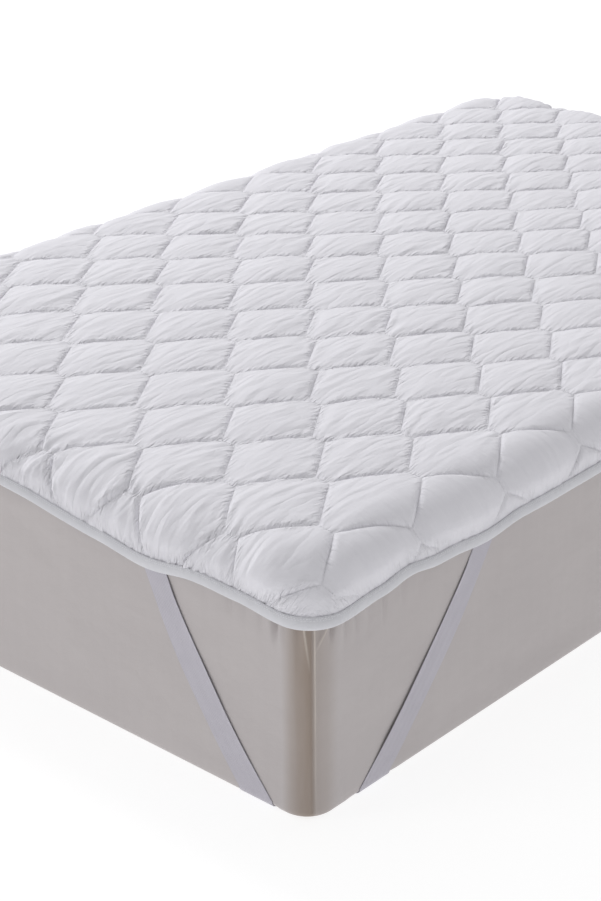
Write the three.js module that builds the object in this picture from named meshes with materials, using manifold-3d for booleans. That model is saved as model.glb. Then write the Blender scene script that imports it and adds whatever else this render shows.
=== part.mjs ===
// Quilted mattress protector on its mattress, in millimetres, +Z up.
// X is the width, Y the length, and the origin lies under the middle of the mattress, on its underside.
// The protector is a padded panel with honeycomb quilting, bound round its edge with folded tape,
// and held by four elastic straps that pass under the corners of the mattress.

import * as THREE from 'three';
import Module from 'manifold-3d';

// Mattress
const mattressWidth = 1200;
const mattressLength = 2000;
const mattressDepth = 365;
const topEdgeRadius = 76;
const bottomEdgeRadius = 12;
const uprightCornerRadius = 45;
const topCornerRadius = 95;

// How the panel lies: flat on top, then rolled over the edge of the mattress
const topClearance = 0.3;
const sideClearance = 5;
const undersideRadius = 74;
const seamThickness = 5;
const crownHeight = 12;
const rimThickness = 3.5;
const flatCornerRadius = 100;
const drapedCornerRadius = 50;
const cutCornerRadius = 150;
const overhang = 119;
const easedLength = 250;

// Honeycomb quilting: half a repeat each way, the short bars, and where the first bar lies
const quiltHalfWidth = 82.3;
const quiltHalfLength = 90.5;
const barLength = 23;
const firstBarX = -154.8;
const firstBarY = -670.8;

// The quilting wanders a little: skew as a slope, bows and fans in mm at 1 m from the middle
const wander = {
  skewX: 0.04, skewY: -0.015, bowX: 21, fanX: -92, tiltX: -20, bowY: -23, fanY: 27, tiltY: 38,
};

// Near one corner the strap has drawn some of the quilting along
const drawnPlaces = [
  { x: 585, y: -945, shiftX: -24, shiftY: 20, reach: 55 },
  { x: 510, y: -1040, shiftX: -20, shiftY: 0, reach: 60 },
  { x: 503, y: -852, shiftX: 8, shiftY: -13, reach: 50 },
];

// Binding tape folded over the rim
const bindingHeight = 20;
const bindingBackHeight = 14;
const tapeThickness = 1.6;
const tapeClearance = 0.6;
const rimToFold = 1;

// The bound edge rides up between the straps and dips where they pull, along half of each side
const sideWaves = {
  short: { centreRise: 20, centreReach: 262, dip: 9, dipAt: 315, dipReach: 90, swell: 2, swellAt: 430 },
  long: { centreRise: 9, centreReach: 520, dip: 6, dipAt: 650, dipReach: 80, swell: 7, swellAt: 825 },
};
const swellReach = 65;

// Elastic straps: where the middle line runs on a short side and a long side, from the sewn end down
const strapThickness = 1.2;
const strapGap = 0.45;
const strapSink = 2.05;
const strapSewnHeight = 281;
const strapLevels = [305, 260, 215, 170, 125, 80, 45, 12];
const strapRoute = { shortTop: 327, shortBottom: 505, longTop: 648, longBottom: 868 };
const strapWidths = { sewnEnd: 36, middle: 46, underCorner: 50 };
const strapBow = 12;
const grooveSpare = 0.9;
const underSteps = 8;
const bottomSteps = 3;

const quarterTurn = Math.PI / 2;
const halfWidth = mattressWidth / 2;
const halfLength = mattressLength / 2;

const smooth = (t) => {
  const c = THREE.MathUtils.clamp(t, 0, 1);
  return c * c * (3 - 2 * c);
};
const bump = (distance, reach) => {
  const share = Math.min(Math.abs(distance) / reach, 1);
  return Math.cos(share * quarterTurn) ** 2;
};

// Triangle soup by index, turned into a mesh of its own material
function makeMesh(name, points, faces, look) {
  const geometry = new THREE.BufferGeometry();
  geometry.setAttribute('position', new THREE.Float32BufferAttribute(points.flat(), 3));
  geometry.setIndex(faces.flat());
  geometry.computeVertexNormals();
  const mesh = new THREE.Mesh(geometry, new THREE.MeshStandardMaterial({ metalness: 0, ...look }));
  mesh.name = name;
  return mesh;
}

// A box with rounded upright corners is drawn as rings: the plan outline at each level has its own
// half sizes and corner radius. A station is a place round that outline, counter-clockwise.
function ringStations(cornerSteps, shortSteps, longSteps) {
  const stations = [];
  const addSide = (quarter, steps) => {
    for (let i = 1; i < steps; i += 1) stations.push({ quarter, along: i / steps });
  };
  for (let quarter = 0; quarter < 4; quarter += 1) {
    for (let i = 0; i <= cornerSteps; i += 1) {
      stations.push({ quarter, angle: (quarter + i / cornerSteps) * quarterTurn });
    }
    addSide(quarter, quarter % 2 === 0 ? shortSteps : longSteps);
  }
  return stations;
}

// Signs of the corner that each quarter turn starts from
const cornerSigns = [[1, 1], [-1, 1], [-1, -1], [1, -1]];

function outlinePoint(station, halfX, halfY, radius) {
  const [signX, signY] = cornerSigns[station.quarter];
  const centreX = signX * (halfX - radius);
  const centreY = signY * (halfY - radius);
  if (station.angle !== undefined) {
    return [centreX + radius * Math.cos(station.angle), centreY + radius * Math.sin(station.angle)];
  }
  const endAngle = (station.quarter + 1) * quarterTurn;
  const [nextX, nextY] = cornerSigns[(station.quarter + 1) % 4];
  const from = [centreX + radius * Math.cos(endAngle), centreY + radius * Math.sin(endAngle)];
  const to = [
    nextX * (halfX - radius) + radius * Math.cos(endAngle),
    nextY * (halfY - radius) + radius * Math.sin(endAngle),
  ];
  return from.map((value, axis) => THREE.MathUtils.lerp(value, to[axis], station.along));
}

function bridgeRings(faces, firstRing, secondRing, count) {
  for (let i = 0; i < count; i += 1) {
    const next = (i + 1) % count;
    faces.push([firstRing + i, firstRing + next, secondRing + next]);
    faces.push([firstRing + i, secondRing + next, secondRing + i]);
  }
}

function capRing(faces, points, start, count, facingUp) {
  const contour = points.slice(start, start + count).map((point) => new THREE.Vector2(point[0], point[1]));
  for (const [a, b, c] of THREE.ShapeUtils.triangulateShape(contour, [])) {
    faces.push(facingUp ? [start + a, start + b, start + c] : [start + a, start + c, start + b]);
  }
}

// Mattress: a soft box with a rolled top edge, rounder corners on top than at the sides
function mattressSolid() {
  const stations = ringStations(6, 1, 1);
  const levels = [];
  const topSteps = 6;
  for (let i = 0; i <= bottomSteps; i += 1) {
    const turn = (i / bottomSteps) * quarterTurn;
    const inset = bottomEdgeRadius * (1 - Math.sin(turn));
    const height = bottomEdgeRadius * (1 - Math.cos(turn));
    levels.push({ inset, height, radius: uprightCornerRadius - inset });
  }
  for (let i = 0; i <= topSteps; i += 1) {
    const turn = (1 - i / topSteps) * quarterTurn;
    levels.push({
      inset: topEdgeRadius * (1 - Math.sin(turn)),
      height: mattressDepth - topEdgeRadius * (1 - Math.cos(turn)),
      radius: topCornerRadius - (topCornerRadius - uprightCornerRadius) * Math.sin(turn),
    });
  }
  const points = [];
  for (const { inset, height, radius } of levels) {
    for (const station of stations) {
      points.push([...outlinePoint(station, halfWidth - inset, halfLength - inset, radius), height]);
    }
  }
  const faces = [];
  const count = stations.length;
  for (let level = 0; level + 1 < levels.length; level += 1) {
    bridgeRings(faces, level * count, (level + 1) * count, count);
  }
  capRing(faces, points, 0, count, false);
  capRing(faces, points, (levels.length - 1) * count, count, true);
  return { points, faces };
}

// The panel is laid out flat as its cut shape. Its depth is how far a place lies past the line where
// the panel leaves the flat top, and the corner radius of the outline changes with the depth.
const flatHalfX = halfWidth + sideClearance - undersideRadius;
const flatHalfY = halfLength + sideClearance - undersideRadius;
const quiltRadius = undersideRadius + seamThickness;
const rollCentreHeight = mattressDepth + topClearance - undersideRadius;
const radiusGrowth = (cutCornerRadius - flatCornerRadius) / overhang;

function placeOnPanel(u, v) {
  const x = Math.abs(u);
  const y = Math.abs(v);
  const pastX = x - flatHalfX;
  const pastY = y - flatHalfY;
  const p = pastX + flatCornerRadius;
  const q = pastY + flatCornerRadius;
  const shift = 1 - radiusGrowth;
  const straightDepth = Math.max(pastX, pastY);
  if (p <= shift * straightDepth || q <= shift * straightDepth) {
    return { depth: straightDepth, onLongSide: pastX > pastY };
  }
  const a = 2 * shift * shift - radiusGrowth * radiusGrowth;
  const b = shift * (p + q) + radiusGrowth * flatCornerRadius;
  const c = p * p + q * q - flatCornerRadius * flatCornerRadius;
  const depth = (b - Math.sqrt(Math.max(b * b - a * c, 0))) / a;
  return { depth, angle: Math.atan2(q - shift * depth, p - shift * depth) };
}

function sideRise(along, waves) {
  const p = Math.abs(along);
  const dip = waves.dip * bump(p - waves.dipAt, waves.dipReach);
  const swell = waves.swell * bump(p - waves.swellAt, swellReach);
  return waves.centreRise * bump(p, waves.centreReach) - dip + swell;
}

// The underside of the panel where it lies on the mattress, for a place on its flat layout. Going round
// an outline, the cloth keeps its length: past the eased start it closes up a little towards the corner.
function undersidePoint(u, v) {
  const { depth, angle, onLongSide } = placeOnPanel(u, v);
  if (depth <= 0) return new THREE.Vector3(u, v, rollCentreHeight + undersideRadius);
  const isCorner = angle !== undefined;
  const isLong = isCorner ? angle < quarterTurn / 2 : onLongSide;
  const flatHalf = isLong ? flatHalfY : flatHalfX;
  const layoutRadius = flatCornerRadius + radiusGrowth * depth;
  const cornerTravel = isCorner ? layoutRadius * (isLong ? angle : quarterTurn - angle) : 0;
  const straight = isLong ? Math.abs(v) : Math.abs(u);
  const travel = isCorner ? flatHalf + depth - layoutRadius + cornerTravel : straight;

  const rise = sideRise(travel, isLong ? sideWaves.long : sideWaves.short);
  const pulled = depth * (1 - rise / overhang);
  const turn = Math.min(pulled / quiltRadius, quarterTurn);
  const fall = Math.max(pulled - quiltRadius * quarterTurn, 0);
  const height = rollCentreHeight + undersideRadius * Math.cos(turn) - fall;
  const outward = undersideRadius * Math.sin(turn);
  const radius = flatCornerRadius - (flatCornerRadius - drapedCornerRadius) * Math.sin(turn);

  const easedFrom = flatHalf - easedLength;
  const layoutEnd = flatHalf + depth + layoutRadius * (quarterTurn / 2 - 1);
  const drapedEnd = flatHalf + outward + radius * (quarterTurn / 2 - 1);
  const closing = (drapedEnd - easedFrom) / (layoutEnd - easedFrom);
  const drapedTravel = travel < easedFrom ? travel : easedFrom + (travel - easedFrom) * closing;
  const roundFrom = flatHalf + outward - radius;
  const roundAngle = Math.max(drapedTravel - roundFrom, 0) / radius;
  const along = Math.min(drapedTravel, roundFrom) + radius * Math.sin(roundAngle);
  const out = (isLong ? flatHalfX : flatHalfY) + outward - radius * (1 - Math.cos(roundAngle));
  const x = isLong ? out : along;
  const y = isLong ? along : out;
  return new THREE.Vector3(Math.sign(u) * x, Math.sign(v) * y, height);
}

const probe = 0.5;
function drape(u, v, thickness) {
  const point = undersidePoint(u, v);
  const alongU = undersidePoint(u + probe, v).sub(undersidePoint(u - probe, v));
  const alongV = undersidePoint(u, v + probe).sub(undersidePoint(u, v - probe));
  const normal = alongU.cross(alongV).normalize();
  return point.addScaledVector(normal, thickness).toArray();
}

// The cut outline of the panel at a depth, for a station round it
function layoutPoint(station, depth) {
  const radius = flatCornerRadius + radiusGrowth * depth;
  return outlinePoint(station, flatHalfX + depth, flatHalfY + depth, radius);
}

// Quilting: from the even pattern to the sewn panel, and the thickness at a place of the pattern
function wanderedPlace(x, y) {
  const a = x / 1000;
  const b = y / 1000;
  let u = x + wander.skewX * y + wander.bowX * b * b + wander.fanX * a * b + wander.tiltX * a * a;
  let v = y + wander.skewY * x + wander.bowY * b * b + wander.fanY * a * b + wander.tiltY * a * a;
  for (const place of drawnPlaces) {
    const farSquared = (x - place.x) ** 2 + (y - place.y) ** 2;
    const pull = Math.exp(-farSquared / (2 * place.reach ** 2));
    u += pull * place.shiftX;
    v += pull * place.shiftY;
  }
  return [u, v];
}

function quiltThickness(x, y) {
  const column = (x - firstBarX) / quiltHalfWidth;
  const row = (y - firstBarY) / quiltHalfLength;
  let nearest = 0;
  for (let i = Math.floor(column); i <= Math.floor(column) + 1; i += 1) {
    for (let j = Math.floor(row); j <= Math.floor(row) + 1; j += 1) {
      if ((i + j) % 2 === 0) continue;
      const across = Math.abs(column - i) * quiltHalfWidth;
      const along = Math.abs(row - j) * quiltHalfLength;
      const slantRun = quiltHalfWidth - barLength;
      const slantLength = Math.hypot(slantRun, quiltHalfLength);
      const room = (quiltHalfWidth - barLength / 2 - across) * quiltHalfLength - along * slantRun;
      nearest = Math.max(nearest, Math.min(room / slantLength, quiltHalfLength - along));
    }
  }
  const widest = ((quiltHalfWidth - barLength / 2) * quiltHalfLength)
    / Math.hypot(quiltHalfWidth - barLength, quiltHalfLength);
  const share = Math.min(nearest / widest, 1);
  return seamThickness + crownHeight * (1 - (1 - share) ** 2) ** 0.75;
}

const slotDepth = bindingHeight - rimToFold - 1;
const backSlotDepth = bindingBackHeight - rimToFold - 1;
const quiltMargin = 3;
const puffReach = 40;
function panelThickness(vertex) {
  const fromSlot = overhang - slotDepth - vertex.depth;
  const puff = smooth(fromSlot / puffReach);
  return THREE.MathUtils.lerp(rimThickness, quiltThickness(vertex.x, vertex.y), puff);
}

function panelVertex(x, y) {
  const [u, v] = wanderedPlace(x, y);
  return { x, y, u, v, depth: placeOnPanel(u, v).depth };
}

// Rows and columns of the panel follow the zigzag seams, so that each seam is an edge of the mesh
const columnShares = [0, 0.2, 0.5, 0.8];
const rowsPerHalf = 3;

function quiltGrid() {
  const reachX = flatHalfX + overhang + 2 * quiltHalfWidth;
  const reachY = flatHalfY + overhang + 2 * quiltHalfLength;
  const firstStrip = Math.floor((-reachX - firstBarX) / quiltHalfWidth);
  const lastStrip = Math.ceil((reachX - firstBarX) / quiltHalfWidth);
  const firstHalf = Math.floor((-reachY - firstBarY) / quiltHalfLength);
  const lastHalf = Math.ceil((reachY - firstBarY) / quiltHalfLength);
  const swing = (quiltHalfWidth - barLength) / 2;
  const zigzag = (strip, half) => {
    const sign = (strip + half) % 2 === 0 ? 1 : -1;
    return (strip + 0.5) * quiltHalfWidth - swing * sign;
  };
  const grid = [];
  for (let half = firstHalf; half <= lastHalf; half += 1) {
    for (let step = 0; step < rowsPerHalf; step += 1) {
      const share = step / rowsPerHalf;
      const seamAt = (strip) => THREE.MathUtils.lerp(zigzag(strip, half), zigzag(strip, half + 1), share);
      const row = [];
      for (let strip = firstStrip; strip <= lastStrip; strip += 1) {
        for (const across of columnShares) {
          const x = firstBarX + THREE.MathUtils.lerp(seamAt(strip - 1), seamAt(strip), across);
          row.push(panelVertex(x, firstBarY + (half + share) * quiltHalfLength));
        }
      }
      grid.push(row);
    }
  }
  return grid;
}

// Moves a vertex that lies close to an outline onto it, so that cutting leaves no slivers
function snapToDepth(vertex, depth, reach) {
  if (Math.abs(vertex.depth - depth) > reach) return;
  for (let i = 0; i < 4; i += 1) {
    const slopeU = (placeOnPanel(vertex.u + probe, vertex.v).depth - vertex.depth) / probe;
    const slopeV = (placeOnPanel(vertex.u, vertex.v + probe).depth - vertex.depth) / probe;
    const step = (depth - vertex.depth) / (slopeU * slopeU + slopeV * slopeV);
    vertex.u += step * slopeU;
    vertex.v += step * slopeV;
    vertex.depth = placeOnPanel(vertex.u, vertex.v).depth;
  }
  vertex.depth = depth;
}

// Cuts triangles along the outline at a depth, and drops what lies outside it
function cutAtDepth(vertices, triangles, depth) {
  const cuts = new Map();
  const cutEdge = (a, b) => {
    const key = a < b ? `${a},${b}` : `${b},${a}`;
    if (cuts.has(key)) return cuts.get(key);
    let low = vertices[Math.min(a, b)];
    let high = vertices[Math.max(a, b)];
    const lowIsInside = low.depth < depth;
    let middle = low;
    for (let i = 0; i < 24; i += 1) {
      middle = {};
      for (const axis of ['x', 'y', 'u', 'v']) middle[axis] = (low[axis] + high[axis]) / 2;
      middle.depth = placeOnPanel(middle.u, middle.v).depth;
      if (middle.depth < depth === lowIsInside) low = middle;
      else high = middle;
    }
    middle.depth = depth;
    vertices.push(middle);
    cuts.set(key, vertices.length - 1);
    return vertices.length - 1;
  };
  const kept = [];
  for (const triangle of triangles) {
    const signs = triangle.map((index) => Math.sign(vertices[index].depth - depth));
    const outside = signs.filter((sign) => sign > 0).length;
    const inside = signs.filter((sign) => sign < 0).length;
    if (outside === 0 || inside === 0) {
      if (inside > 0) kept.push(triangle);
      continue;
    }
    const polygon = [];
    triangle.forEach((index, i) => {
      const next = (i + 1) % 3;
      if (signs[i] <= 0) polygon.push(index);
      if (signs[i] * signs[next] < 0) polygon.push(cutEdge(index, triangle[next]));
    });
    for (let i = 1; i + 1 < polygon.length; i += 1) kept.push([polygon[0], polygon[i], polygon[i + 1]]);
  }
  return kept;
}

// The open edge of a set of triangles, as one loop of vertex numbers
function openLoop(triangles) {
  const next = new Map();
  const seen = new Set();
  for (const [a, b, c] of triangles) {
    for (const [from, to] of [[a, b], [b, c], [c, a]]) seen.add(`${from},${to}`);
  }
  for (const [a, b, c] of triangles) {
    for (const [from, to] of [[a, b], [b, c], [c, a]]) if (!seen.has(`${to},${from}`)) next.set(from, to);
  }
  const start = next.keys().next().value;
  const loop = [start];
  for (let at = next.get(start); at !== start; at = next.get(at)) loop.push(at);
  return loop;
}

// A number that grows once round an outline, for pairing the points of two loops
function turnOf(u, v) {
  const reach = Math.abs(u) - Math.abs(v) + (flatHalfY - flatHalfX);
  const lean = THREE.MathUtils.clamp(reach / (2 * cutCornerRadius), -1, 1);
  const onLong = (1 + lean) / 2;
  const along = (u >= 0 ? v : -v) / (2 * (flatHalfY + overhang));
  const across = (v >= 0 ? -u : u) / (2 * (flatHalfX + overhang));
  const longTurn = (u >= 0 ? 0 : 2) + along;
  const shortTurn = (v >= 0 ? 1 : 3) + across;
  const wrapped = longTurn < 0 && v < 0 ? longTurn + 4 : longTurn;
  const turn = THREE.MathUtils.lerp(shortTurn, u >= 0 && v < 0 ? wrapped : longTurn, onLong);
  return (turn + 4) % 4;
}

// Joins two loops of different counts, each point to the nearest place round the other
function zipLoops(faces, outer, outerTurns, inner, innerTurns) {
  const startAt = (turns) => turns.indexOf(Math.min(...turns));
  const order = (loop, turns) => {
    const first = startAt(turns);
    const rolled = loop.map((_, i) => (first + i) % loop.length);
    const ids = rolled.map((i) => loop[i]);
    const places = rolled.map((i) => turns[i]);
    return { ids: [...ids, ids[0]], places: [...places, places[0] + 4] };
  };
  const a = order(outer, outerTurns);
  const b = order(inner, innerTurns);
  let i = 0;
  let j = 0;
  while (i + 1 < a.ids.length || j + 1 < b.ids.length) {
    const stepOuter = j + 1 >= b.ids.length || (i + 1 < a.ids.length && a.places[i + 1] <= b.places[j + 1]);
    if (stepOuter) {
      faces.push([a.ids[i], b.ids[j], a.ids[i + 1]]);
      i += 1;
    } else {
      faces.push([a.ids[i], b.ids[j], b.ids[j + 1]]);
      j += 1;
    }
  }
}

// Quilted panel: puffed top, smooth underside and a thin rim for the tape
const rimStations = ringStations(7, 20, 30);
const underStations = ringStations(5, 6, 10);
const underShares = [0.76, 0.57, 0.38, 0.19, 0];

function padSolid() {
  const quiltDepth = overhang - slotDepth - quiltMargin;
  const vertices = [];
  const numbers = quiltGrid().map((row) => row.map((vertex) => {
    snapToDepth(vertex, quiltDepth, 6);
    vertices.push(vertex);
    return vertices.length - 1;
  }));
  let triangles = [];
  for (let i = 0; i + 1 < numbers.length; i += 1) {
    for (let j = 0; j + 1 < numbers[i].length; j += 1) {
      const [a, b] = [numbers[i][j], numbers[i][j + 1]];
      const [d, c] = [numbers[i + 1][j], numbers[i + 1][j + 1]];
      const leansBack = j % columnShares.length >= columnShares.length / 2;
      if (leansBack) triangles.push([a, b, c], [a, c, d]);
      else triangles.push([a, b, d], [b, c, d]);
    }
  }
  triangles = triangles.filter((triangle) => triangle.some((index) => vertices[index].depth < quiltDepth));
  triangles = cutAtDepth(vertices, triangles, quiltDepth);

  const points = [];
  const pointOf = new Map();
  const addTop = (index) => {
    if (!pointOf.has(index)) {
      const vertex = vertices[index];
      points.push(drape(vertex.u, vertex.v, panelThickness(vertex)));
      pointOf.set(index, points.length - 1);
    }
    return pointOf.get(index);
  };
  const faces = triangles.map((triangle) => triangle.map(addTop));
  const addRing = (stations, depth, thickness) => {
    const ids = stations.map((station) => {
      points.push(drape(...layoutPoint(station, depth), thickness));
      return points.length - 1;
    });
    return { ids, start: ids[0], turns: stations.map((station) => turnOf(...layoutPoint(station, depth))) };
  };

  const edge = openLoop(triangles);
  const edgeTurns = edge.map((index) => turnOf(vertices[index].u, vertices[index].v));
  const slot = addRing(rimStations, overhang - slotDepth, rimThickness);
  const rim = addRing(rimStations, overhang, rimThickness);
  const underRim = addRing(rimStations, overhang, 0);
  const underSlot = addRing(rimStations, overhang - backSlotDepth, 0);
  const rings = underShares.map((share) => addRing(underStations, share * overhang, 0));
  zipLoops(faces, edge.map(addTop), edgeTurns, slot.ids, slot.turns);
  const rimCount = rimStations.length;
  bridgeRings(faces, rim.start, slot.start, rimCount);
  bridgeRings(faces, underRim.start, rim.start, rimCount);
  bridgeRings(faces, underSlot.start, underRim.start, rimCount);
  zipLoops(faces, underSlot.ids, underSlot.turns, rings[0].ids, rings[0].turns);
  for (let i = 0; i + 1 < rings.length; i += 1) {
    bridgeRings(faces, rings[i + 1].start, rings[i].start, underStations.length);
  }
  capRing(faces, points, rings[rings.length - 1].start, underStations.length, false);
  return { points, faces };
}

// Binding: a channel of tape folded over the rim, a little deeper in front than behind
function bindingSolid() {
  const front = rimThickness + tapeClearance;
  const frontOut = front + tapeThickness;
  const back = -tapeClearance;
  const backOut = -tapeClearance - tapeThickness * 0.6;
  const top = rimToFold + tapeThickness - bindingHeight;
  const backTop = rimToFold + tapeThickness - bindingBackHeight;
  const fold = rimToFold + tapeThickness;
  const section = [
    [top, front],
    [top, frontOut],
    [rimToFold, frontOut + 0.3],
    [fold, front - 1],
    [fold - 0.4, back],
    [rimToFold - 1, backOut],
    [backTop, backOut],
    [backTop, back],
    [rimToFold, back],
    [rimToFold, front],
  ];
  const stations = rimStations;
  const points = [];
  for (const station of stations) {
    for (const [down, out] of section) points.push(drape(...layoutPoint(station, overhang + down), out));
  }
  const faces = [];
  const size = section.length;
  for (let i = 0; i < stations.length; i += 1) {
    const here = i * size;
    const there = ((i + 1) % stations.length) * size;
    for (let k = 0; k < size; k += 1) {
      const next = (k + 1) % size;
      faces.push([here + k, here + next, there + next]);
      faces.push([here + k, there + next, there + k]);
    }
  }
  return { points, faces };
}

// A strap is worked out on the back right corner as lines across it, from a short side, under the corner,
// to a long side. Each line keeps level with the edge it crosses, and swings round between the edges.
function strapLines(from, to) {
  const lines = [];
  const { shortTop, shortBottom, longTop, longBottom } = strapRoute;
  const bottomLevel = bottomEdgeRadius;
  const centreAt = (top, bottom, height) => {
    const share = (strapSewnHeight - height) / (strapSewnHeight - bottomLevel);
    return THREE.MathUtils.lerp(top, bottom, share) - strapBow * 4 * share * (1 - share);
  };
  const widthAt = (height) => {
    const lower = THREE.MathUtils.lerp(strapWidths.underCorner, strapWidths.middle, smooth(height / 120));
    return THREE.MathUtils.lerp(lower, strapWidths.sewnEnd, smooth((height - 150) / 130));
  };
  const slantOf = (top, bottom) => Math.hypot(bottom - top, strapSewnHeight) / strapSewnHeight;
  for (const height of strapLevels) {
    const reach = widthAt(height) * slantOf(shortTop, shortBottom) / 2;
    const at = centreAt(shortTop, shortBottom, height);
    lines.push({ turn: quarterTurn, climb: height - bottomLevel, at, reach });
  }
  const rolled = [2, 1, 0].map((step) => (step / bottomSteps) * quarterTurn);
  const shortReach = (widthAt(0) * slantOf(shortTop, shortBottom)) / 2;
  const longReach = (widthAt(0) * slantOf(longTop, longBottom)) / 2;
  for (const turn of rolled) lines.push({ turn, climb: 0, at: shortBottom, reach: shortReach });
  const shortLines = lines.map((line) => ({ ...line, across: 0 }));
  const startX = shortBottom;
  const startY = halfLength - bottomEdgeRadius;
  const endX = halfWidth - bottomEdgeRadius;
  const endY = longBottom;
  const under = [];
  for (let i = 1; i < underSteps; i += 1) {
    const across = i / underSteps;
    under.push({
      across,
      centre: [THREE.MathUtils.lerp(startX, endX, across), THREE.MathUtils.lerp(startY, endY, across)],
      swing: across * quarterTurn,
      reach: widthAt(0) / 2 + (shortReach - widthAt(0) / 2) * Math.abs(1 - 2 * across),
    });
  }
  const longLines = shortLines.map((line) => {
    const height = bottomLevel + line.climb;
    const isUpright = line.turn === quarterTurn;
    const at = isUpright ? centreAt(longTop, longBottom, height) : longBottom;
    const reach = isUpright ? widthAt(height) * slantOf(longTop, longBottom) / 2 : longReach;
    return { ...line, at, reach, across: 1 };
  }).reverse();
  const all = [...shortLines, ...under, ...longLines];
  return all.slice(from, to === undefined ? all.length : all.length - to);
}

function strapBand({ skip, spare, inner, outer }) {
  const lines = strapLines(skip, skip);
  const sides = [-1, -1 / 3, 1 / 3, 1];
  const sheets = [inner, outer].map((offset) => lines.map((line) => sides.map((side) => {
    const along = side * (line.reach + spare);
    const underneath = [offset, offset - strapSink];
    if (line.centre) {
      const [x, y] = line.centre;
      return [x + along * Math.cos(line.swing), y + along * Math.sin(line.swing), -underneath[1]];
    }
    const offTurn = THREE.MathUtils.lerp(underneath[1], underneath[0], Math.sin(line.turn));
    const out = (bottomEdgeRadius + offTurn) * Math.sin(line.turn) - bottomEdgeRadius;
    const height = bottomEdgeRadius - (bottomEdgeRadius + offTurn) * Math.cos(line.turn) + line.climb;
    if (line.across === 0) return [line.at + along, halfLength + out, height];
    return [halfWidth + out, line.at + along, height];
  })));
  const points = sheets.flat(2);
  const faces = [];
  const steps = lines.length - 1;
  const columns = sides.length;
  const id = (sheet, row, column) => (sheet * (steps + 1) + row) * columns + column;
  const quad = (a, b, c, d) => faces.push([a, c, b], [a, d, c]);
  for (let i = 0; i < steps; i += 1) {
    for (let k = 0; k + 1 < columns; k += 1) {
      quad(id(0, i, k), id(0, i, k + 1), id(0, i + 1, k + 1), id(0, i + 1, k));
      quad(id(1, i, k), id(1, i + 1, k), id(1, i + 1, k + 1), id(1, i, k + 1));
    }
    quad(id(0, i, 0), id(0, i + 1, 0), id(1, i + 1, 0), id(1, i, 0));
    const last = columns - 1;
    quad(id(0, i + 1, last), id(0, i, last), id(1, i, last), id(1, i + 1, last));
  }
  for (let k = 0; k + 1 < columns; k += 1) {
    quad(id(0, 0, k + 1), id(0, 0, k), id(1, 0, k), id(1, 0, k + 1));
    quad(id(0, steps, k), id(0, steps, k + 1), id(1, steps, k + 1), id(1, steps, k));
  }
  return { points, faces };
}

function mirrored(solid, signX, signY) {
  const points = solid.points.map(([x, y, z]) => [x * signX, y * signY, z]);
  const turned = signX * signY < 0;
  const faces = solid.faces.map(([a, b, c]) => (turned ? [a, c, b] : [a, b, c]));
  return { points, faces };
}

// The straps draw into the soft underside, so the mattress is let in by their thickness there
const wasm = await Module();
wasm.setup();

function toManifold({ points, faces }) {
  return new wasm.Manifold(new wasm.Mesh({
    numProp: 3,
    vertProperties: new Float32Array(points.flat()),
    triVerts: new Uint32Array(faces.flat()),
  }));
}

function fromManifold(solid) {
  const { vertProperties, triVerts, numProp } = solid.getMesh();
  const points = [];
  const faces = [];
  for (let i = 0; i < vertProperties.length; i += numProp) points.push([...vertProperties.slice(i, i + 3)]);
  for (let i = 0; i < triVerts.length; i += 3) faces.push([...triVerts.slice(i, i + 3)]);
  return { points, faces };
}

const strap = strapBand({ skip: 0, spare: 0, inner: strapGap, outer: strapGap + strapThickness });
const groove = strapBand({
  skip: strapLevels.length - 1,
  spare: grooveSpare,
  inner: strapGap - grooveSpare / 2,
  outer: strapGap + strapThickness + grooveSpare * 8,
});

const corners = [
  { name: 'front_right', signX: 1, signY: -1 },
  { name: 'back_right', signX: 1, signY: 1 },
  { name: 'back_left', signX: -1, signY: 1 },
  { name: 'front_left', signX: -1, signY: -1 },
];

let mattressBody = toManifold(mattressSolid());
for (const { signX, signY } of corners) {
  mattressBody = mattressBody.subtract(toManifold(mirrored(groove, signX, signY)));
}

const coverCloth = { color: 0xb5aea6, roughness: 0.85 };
const whiteCloth = { color: 0xe9e8ee, roughness: 0.9 };
const whiteTape = { color: 0xe2e1e8, roughness: 0.8 };
const elasticWeb = { color: 0xc9c6cf, roughness: 0.75 };

const group = new THREE.Group();
const addSolid = (name, { points, faces }, look) => group.add(makeMesh(name, points, faces, look));
addSolid('mattress', fromManifold(mattressBody), coverCloth);
addSolid('pad', padSolid(), whiteCloth);
addSolid('binding', bindingSolid(), whiteTape);
for (const { name, signX, signY } of corners) {
  addSolid(`strap_${name}`, mirrored(strap, signX, signY), elasticWeb);
}

export default group;
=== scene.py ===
import math
import bpy
import numpy as np
from mathutils import Matrix, Vector


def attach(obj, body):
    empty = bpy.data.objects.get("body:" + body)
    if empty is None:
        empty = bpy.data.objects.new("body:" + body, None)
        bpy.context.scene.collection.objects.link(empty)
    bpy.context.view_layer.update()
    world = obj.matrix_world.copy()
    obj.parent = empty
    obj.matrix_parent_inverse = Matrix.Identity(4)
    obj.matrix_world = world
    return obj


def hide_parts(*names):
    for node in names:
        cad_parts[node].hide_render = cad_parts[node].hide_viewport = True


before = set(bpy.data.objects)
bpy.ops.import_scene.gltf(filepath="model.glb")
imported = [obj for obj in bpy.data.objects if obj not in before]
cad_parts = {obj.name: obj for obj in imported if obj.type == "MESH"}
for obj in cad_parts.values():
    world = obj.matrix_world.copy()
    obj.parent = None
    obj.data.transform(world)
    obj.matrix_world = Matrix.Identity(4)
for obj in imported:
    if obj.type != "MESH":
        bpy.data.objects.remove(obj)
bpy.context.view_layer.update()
quarterTurn = math.pi / 2

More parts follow.
